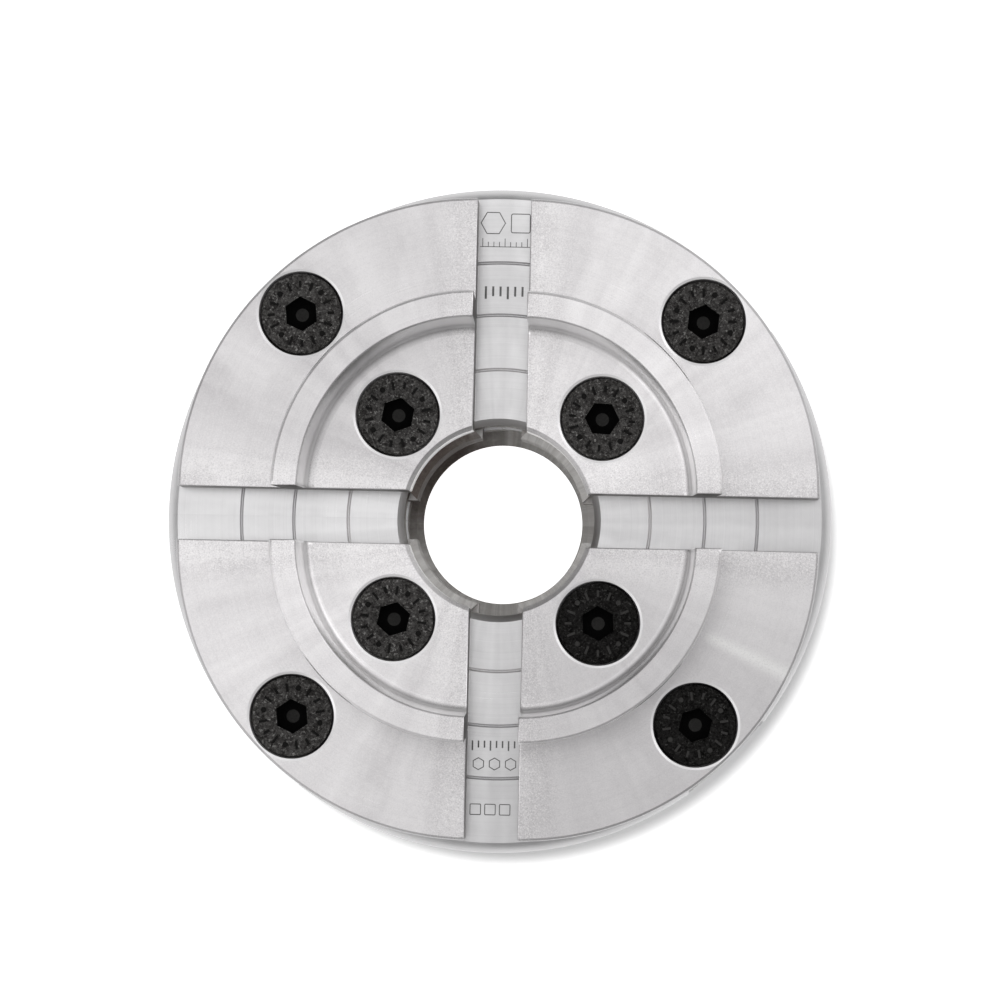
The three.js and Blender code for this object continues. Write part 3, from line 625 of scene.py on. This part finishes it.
# ------------------------------------------------------------------------ jaws
def build_jaw_master():
    """One quarter of a turned jaw blank, in the +X +Y quarter, with its screw seats."""
    def bore_R(theta, d):
        delta = theta - math.pi / 4
        rr = 13.1 + d
        return -JAW_OFF * math.cos(delta) + math.sqrt(rr * rr - (JAW_OFF * math.sin(delta)) ** 2)
    prof = [("b", 0.3, 50.25), (41.7, 0, 50.25), (42.0, 0, 50.55), (42.0, 0, 56.45), (41.92, 0, 56.72), (41.6, 0, 57.0),
            (27.75, 0, 57.0), (27.5, 0, 57.12), (28.15, 0, 65.3), (28.18, 0, 65.9), (28.0, 0, 66.38), (27.75, 0, 66.5),
            (24.65, 0, 66.5), (24.42, 0, 66.40), (24.38, 0, 66.2), (23.9, 0, 58.3)]
    for i in range(1, 6):
        a = i * math.pi / 12
        prof.append((23.9 - 1.3 * (1 - math.cos(a)), 0, 58.3 - 1.3 * math.sin(a)))
    prof += [(22.6, 0, 57.0), ("b", 0.62, 57.0), ("b", 0.50, 56.93), ("b", 0.0, 56.40), ("b", 0.0, 50.55)]
    rows = []
    m = 64
    for p in prof:
        row = []
        if p[0] == "b":
            rr = 13.1 + p[1]
            # the ends lie on the straight sides x = OJ + kerf and y = OJ + kerf
            lo = math.asin((OJ + JAW_KERF) / rr)
            for j in range(m + 1):
                a = lo + (math.pi / 2 - 2 * lo) * j / m
                row.append((rr * math.cos(a), rr * math.sin(a), p[2]))
        else:
            R = p[0]
            lo = math.asin(JAW_KERF / R)
            for j in range(m + 1):
                a = lo + (math.pi / 2 - 2 * lo) * j / m
                row.append((OJ + R * math.cos(a), OJ + R * math.sin(a), p[2]))
        rows.append(row)
    o = grid_solid("jaw_master", rows, close_rows=True, close_cols=False)
    bevel(o, 0.16, 50, 2)
    seats = []
    for u in SCREW_U:
        seats.append(lathe("cut", [(0, 45), (3.3, 45), (3.3, 53.7), (5.93, 56.33), (5.93, 56.80), (6.02, 56.915), (6.36, 57.0), (6.40, 57.02), (6.45, 60), (0, 60)], 72, at=(u * S2, u * S2)))
    boolean(o, seats)
    smooth(o)
    return o


def build_jaws():
    master = build_jaw_master()
    for i, a in enumerate(ANGLES):
        o = copy_of(master, "jaw_quadrant_%d" % (i + 1))
        turn(o, a - 45)
        paint(o, M_JAW, M_SEAT_HIGHLIGHT, M_SAWN_SHADE)
        for f in o.data.polygons:    # painted highlight: a lighter, less streaky steel on the edge round each screw seat; and a dull, darker steel on the sawn sides (sawn finish with painted shade)
            c = f.center / MM
            if abs(f.normal.z) < 0.5 and max(abs(f.normal.x), abs(f.normal.y)) > 0.98 and min(abs(c.x), abs(c.y)) < OJ + JAW_KERF + 0.25:
                f.material_index = 2
            if c.z > 56.7 and f.normal.z < 0.9995:
                for u in SCREW_U:
                    if math.hypot(c.x - u * math.cos(math.radians(a)), c.y - u * math.sin(math.radians(a))) < 6.42:
                        f.material_index = 1
        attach(o, "jaw_set_%d" % (i + 1))
        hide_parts("jaw_%d" % (i + 1))
    drop(master)


# ---------------------------------------------------------------------- slides
PITCH, GROOVE_W, TOOTH_CLEAR = 5.0, 2.95, 0.22
TMIN, TMAX, TOOTH_W, R0 = -3.5, 7.5, 5.2, 18.1


def groove_rho(a, s, k):
    return R0 - PITCH * a / TAU + s + k * PITCH


def spiral_u(v, s, k, angle, off):
    u = 25.0
    for _ in range(60):
        rho = groove_rho(angle + math.atan2(v, u + s), s, k) + off
        nxt = math.sqrt(max(rho * rho - v * v, 0)) - s
        if abs(nxt - u) < 1e-10:
            break
        u = nxt
    return u


def build_slides():
    for i, deg in enumerate(ANGLES):
        angle = math.radians(deg)

        def plan(w):
            h = w / 2
            vi = min(h, 6.4)
            a, b = math.asin(vi / 12.2), math.asin(h / 46.2)
            pts = arc(0, 0, 46.2, -b, b, 10)
            if h > 6.4:
                pts.append((h + 3.95, h))
            pts += arc(0, 0, 12.2, a, -a, 24)
            if h > 6.4:
                pts.append((h + 3.95, -h))
            return pts
        o = prism("slide", plan(18.9), 38.65, 44.35)
        neck = prism("cut", plan(12.8), 43.35, 50.2)
        teeth = []
        h = GROOVE_W / 2 - TOOTH_CLEAR
        for k in range(-1, 8):
            centre = groove_rho(angle, 0, k)
            if centre < 19.6 or centre > 41.6:
                continue
            inner, outer = [], []
            for q in range(9):
                v = -TOOTH_W + TOOTH_W * q / 4
                lo, hi = -1e9, 1e9
                for j in range(23):
                    s = TMIN + (TMAX - TMIN) * j / 22
                    if centre + s < 15.5 or centre + s > 41.5:
                        continue
                    lo = max(lo, spiral_u(v, s, k, angle, -h))
                    hi = min(hi, spiral_u(v, s, k, angle, h))
                inner.append((lo, v))
                outer.append((hi, v))
            teeth.append(prism("cut", inner[::-1] + outer, 35.85, 39.4))
        boolean(o, [neck] + teeth, "UNION")
        bevel(o, 0.18, 40, 1)
        holes = [lathe("cut", [(0, 40.8), (3.05, 40.8), (3.05, 49.9), (3.4, 50.3), (3.4, 60), (0, 60)], 32, at=(u, 0)) for u in SCREW_U]
        inner = lathe("cut", [(0, 44), (11.7, 44), (12.2, 48.6), (13.5, 50.22), (13.5, 52), (0, 52)], 96)
        boolean(o, holes + [inner])
        turn(o, deg)
        paint(o, M_SLIDE, M_BORE)
        mark_bore(o, 14.0, 60.0)
        smooth(o)
        o.name = "slide_%d" % (i + 1)
        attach(o, "jaw_set_%d" % (i + 1))
        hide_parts("jaw_slide_%d" % (i + 1))


# ---------------------------------------------------------------------- screws
def build_screw_master():
    """Countersunk socket screw on the Z axis, head up, with a raised generic pattern on the head."""
    top = 56.55
    prof = [(0, 41.2), (2.35, 41.2), (2.9, 41.75)]
    for i in range(28):       # rolled thread
        z = 42.0 + 10.2 * i / 27
        prof.append((2.9 if i % 2 else 2.52, z))
    prof += [(2.9, 52.5), (2.9, 53.55), (5.6, 56.22), (5.7, 56.34), (5.68, 56.45), (5.52, top), (3.6, top + 0.03), (0, top + 0.03)]
    o = lathe("screw_master", prof, 72)
    hexr = 4.3 / math.sqrt(3)
    hexa = [(hexr * math.cos(TAU * i / 6), hexr * math.sin(TAU * i / 6)) for i in range(6)]
    cut = prism("cut", hexa, top - 2.7, 60)
    cham = lathe("cut", [(0, top - 0.12), (2.38, top - 0.12), (2.62, top + 0.12), (0, top + 0.12)], 48)
    pip = lathe("cut", [(0, top - 3.1), (0.95, top - 2.9), (0.95, top - 2.0), (0, top - 2.0)], 32)
    boolean(o, [cut, cham, pip])
    raised = []
    zz0, zz1 = top - 0.05, top + 0.17
    for k in range(16):
        a = TAU * (k + 0.25) / 16
        if k % 8 in (3, 7):
            raised.append(lathe("cut", [(0, zz0), (0.42, zz0), (0.34, zz1), (0, zz1)], 16, at=(4.1 * math.cos(a), 4.1 * math.sin(a))))
        else:
            c, s = math.cos(a), math.sin(a)
            w, l0, l1 = 0.17, 3.5 + 0.25 * (k % 2), 4.7
            raised.append(prism("cut", [(l0 * c - w * s, l0 * s + w * c), (l0 * c + w * s, l0 * s - w * c), (l1 * c + w * s, l1 * s - w * c), (l1 * c - w * s, l1 * s + w * c)], zz0, zz1))
    boolean(o, raised, "UNION")
    # paint the head: black oxide, socket, socket floor and raised marks
    bpy.context.view_layer.update()
    paint(o, M_BLACK, M_SOCKET, M_PIP, M_RAISED_SHADE)
    for p in o.data.polygons:
        c = p.center / MM
        d = math.hypot(c.x, c.y)
        # the tops of the raised marks: near-black as painted shade
        if c.z > top + 0.04:
            p.material_index = 3
        elif d < 0.9 and c.z < top - 2.7:
            p.material_index = 2
        elif d < 2.45 and c.z < top - 0.2:
            p.material_index = 1
    smooth(o, 40)
    return o


HEX_TURN = {(1, 0): 12, (1, 1): 40, (2, 0): 5, (2, 1): 20, (3, 0): 33, (3, 1): 50, (4, 0): 18, (4, 1): 3}


def build_screws():
    master = build_screw_master()
    for i, a in enumerate(ANGLES):
        for j, u in enumerate(SCREW_U):
            o = copy_of(master, "jaw_bolt_%d_%s" % (i + 1, ("inner", "outer")[j]))
            if i == 3:    # painted shade: the two lower-right screws take a much darker copy of the black oxide, with lighter raised marks
                o.data.materials[0] = M_BLACK_SHADED
                o.data.materials[3] = M_PIP
            turn(o, HEX_TURN[(i + 1, j)])
            shift(o, x=u)
            turn(o, a)
            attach(o, "jaw_set_%d" % (i + 1))
            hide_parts("jaw_screw_%d_%s" % (i + 1, ("inner", "outer")[j]))
    drop(master)


# ------------------------------------------------------------------ back plate
def build_back():
    prof = [(17.2, 7.25), (17.45, 7.0), (46.0, 7.0), (46.8, 7.8), (46.8, 10.9), (17.2, 10.9)]
    o = lathe("rear_plate", prof, 180)
    cutters = []
    for i in range(6):
        c = lathe("cut", [(0, 0), (4.05, 0), (4.05, 7.0), (3.85, 7.2), (3.85, 7.35), (2.15, 9.05), (2.15, 20), (0, 20)], 40, at=(42.7, 0))
        cutters.append(turn(c, 30 + 60 * i))
    boolean(o, cutters)
    smooth(o)
    paint(o, M_PLATE)
    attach(o, "chuck")
    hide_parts("back_plate")
    prof = [(0, 7.15), (3.5, 7.15), (3.6, 7.25), (3.6, 7.35), (1.9, 9.05), (1.9, 10.0)]
    for i in range(24):
        prof.append((1.9 if i % 2 else 1.62, 10.3 + 8.3 * i / 23))
    prof += [(1.9, 18.7), (1.5, 19.1), (0, 19.1)]
    m = lathe("m", prof, 40)
    hexr = 2.5 / math.sqrt(3)
    cut = prism("cut", [(hexr * math.cos(TAU * i / 6), hexr * math.sin(TAU * i / 6)) for i in range(6)], 5, 8.7)
    boolean(m, [cut])
    smooth(m, 40)
    for i in range(6):
        o = copy_of(m, "rear_bolt_%d" % (i + 1))
        turn(o, 17 * i)
        shift(o, x=42.7)
        turn(o, 30 + 60 * i)
        paint(o, M_BLACK)
        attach(o, "chuck")
        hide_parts("back_plate_screw_%d" % (i + 1))
    drop(m)


build_body()
build_marks()
build_jaws()
build_slides()
build_screws()
build_back()

for node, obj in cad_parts.items():
    if obj.hide_render:
        continue
    mat = M_SCROLL if node.startswith("scroll_ring") else M_PINION if node in ("pinion_a", "pinion_b") else M_BLACK if "set_screw" in node else M_SPRING
    obj.data.materials.clear()
    obj.data.materials.append(mat)

# ----------------------------------------------------------------------- stage
# camera above the jaws, slightly towards the lower right of the picture
PX = 0.14298                   # millimetres for one pixel of the 990 pixel frame, at the face
DIST = 715.0
AZ, EL, ROLL = math.radians(43.38), math.radians(87.52), math.radians(1.249)
back = Vector((math.sin(AZ) * math.cos(EL), -math.cos(AZ) * math.cos(EL), math.sin(EL)))
eye = Vector((0, 0, FACE_Z)) + back * DIST


def camera_axes(forward):
    up0 = Vector((-math.sin(ROLL), math.cos(ROLL), 0))
    right = forward.cross(up0).normalized()
    return right, right.cross(forward).normalized()


right, up = camera_axes(-back)
target = Vector((0, 0, FACE_Z)) + right * (-4.053 * PX) + up * (25.351 * PX)
forward = (target - eye).normalized()
right, up = camera_axes(forward)
cam_data = bpy.data.cameras.new("camera")
cam_data.sensor_width = 36.0
cam_data.lens = 36.0 * (target - eye).length / (990 * PX)
cam_data.clip_start, cam_data.clip_end = 0.01, 20.0
cam = bpy.data.objects.new("camera", cam_data)
scene.collection.objects.link(cam)
m = Matrix((
    (right.x, up.x, -forward.x, eye.x * MM),
    (right.y, up.y, -forward.y, eye.y * MM),
    (right.z, up.z, -forward.z, eye.z * MM),
    (0, 0, 0, 1)))
cam.matrix_world = m
scene.camera = cam

WORLD_LOW, WORLD_HIGH, WORLD_TWO, WORLD_ONE = 0.19, 0.685, 0.52, 0.05

# floor: a pale glowing backdrop, brighter under the bore as painted light and dimmer in a ring round the body's edge as
# painted shadow
floor = make("floor", [(-3000, -3000, 0), (3000, -3000, 0), (3000, 3000, 0), (-3000, 3000, 0)], [(0, 1, 2, 3)])
k = Nodes("floor_pale")
k.b.inputs["Base Color"].default_value = rgb(0.9, 0.9, 0.9)
k.b.inputs["Roughness"].default_value = 0.9
k.b.inputs["Specular IOR Level"].default_value = 0.1
k.b.inputs["Emission Color"].default_value = rgb(1, 1, 1)
tc = k.n("ShaderNodeTexCoord").outputs["Object"]
rad = k.vm("LENGTH", tc, out=1)
rad2 = k.vm("LENGTH", k.vm("SUBTRACT", tc, (0.0004, -0.0010, 0.0)), out=1)
# painted light under the bore; painted shadow in a ring just round the body's edge
under_bore_painted_light = k.ramp(rad, 0.0150, 0.0180, 1.0, 0.0)
glow_with_painted_shadow = k.ramp(rad2, 0.0480, 0.0508, 0.05, 0.70)
far = k.ramp(rad, 0.12, 0.40, 1.0, 0.35)
k.put(k.b, "Emission Strength", k.m("MULTIPLY", k.m("MAXIMUM", under_bore_painted_light, glow_with_painted_shadow), far))
floor.data.materials.append(k.mat)

world = bpy.data.worlds.new("studio")
scene.world = world
world.use_nodes = True
wt = world.node_tree
wt.nodes.clear()
wo = wt.nodes.new("ShaderNodeOutputWorld")
bg = wt.nodes.new("ShaderNodeBackground")
bg.inputs[0].default_value = rgb(1.0, 1.0, 1.0)
wt.links.new(bg.outputs[0], wo.inputs[0])


def wmath(op, a, b=None):
    n = wt.nodes.new("ShaderNodeMath")
    n.operation = op
    for i, v in enumerate((a, b)):
        if isinstance(v, bpy.types.NodeSocket):
            wt.links.new(v, n.inputs[i])
        elif v is not None:
            n.inputs[i].default_value = v
    return n.outputs[0]


# a broad overhead light that falls off towards the horizon, a little stronger on one diagonal
wsep = wt.nodes.new("ShaderNodeSeparateXYZ")
wt.links.new(wt.nodes.new("ShaderNodeTexCoord").outputs["Generated"], wsep.inputs[0])
wx, wy, wz = wsep.outputs
LA = math.radians(31)
wa = wmath("ADD", wmath("MULTIPLY", wx, math.cos(LA)), wmath("MULTIPLY", wy, math.sin(LA)))
wb = wmath("ADD", wmath("MULTIPLY", wx, -math.sin(LA)), wmath("MULTIPLY", wy, math.cos(LA)))
wr = wt.nodes.new("ShaderNodeMapRange")
wr.interpolation_type = "SMOOTHSTEP"
for key, val in (("From Min", 0.05), ("From Max", 0.80), ("To Min", WORLD_LOW), ("To Max", WORLD_HIGH)):
    wr.inputs[key].default_value = val
wt.links.new(wz, wr.inputs["Value"])
wq = wmath("SUBTRACT", wmath("MULTIPLY", wa, wa), wmath("MULTIPLY", wb, wb))
wk = wmath("ADD", wmath("ADD", 1.0, wmath("MULTIPLY", wq, WORLD_TWO)), wmath("MULTIPLY", wa, WORLD_ONE))
wt.links.new(wmath("MULTIPLY", wr.outputs[0], wk), bg.inputs[1])


def softbox(name, az, el, dist, size, power, color=(1, 1, 1)):
    ld = bpy.data.lights.new(name, "AREA")
    ld.shape = "RECTANGLE"
    ld.size, ld.size_y = size
    ld.energy = power
    ld.color = color
    o = bpy.data.objects.new(name, ld)
    a, e = math.radians(az), math.radians(el)
    p = Vector((math.cos(a) * math.cos(e), math.sin(a) * math.cos(e), math.sin(e))) * dist
    o.location = p
    o.rotation_euler = (-p).to_track_quat("-Z", "Y").to_euler()
    o.visible_camera = False
    scene.collection.objects.link(o)
    return o


softbox("key", 30, 52, 1.6, (0.8, 0.6), 1.8)
softbox("fill", 206, 50, 1.6, (0.9, 0.7), 1.8)
softbox("overhead", 120, 75, 0.46, (0.26, 0.26), 0.11)
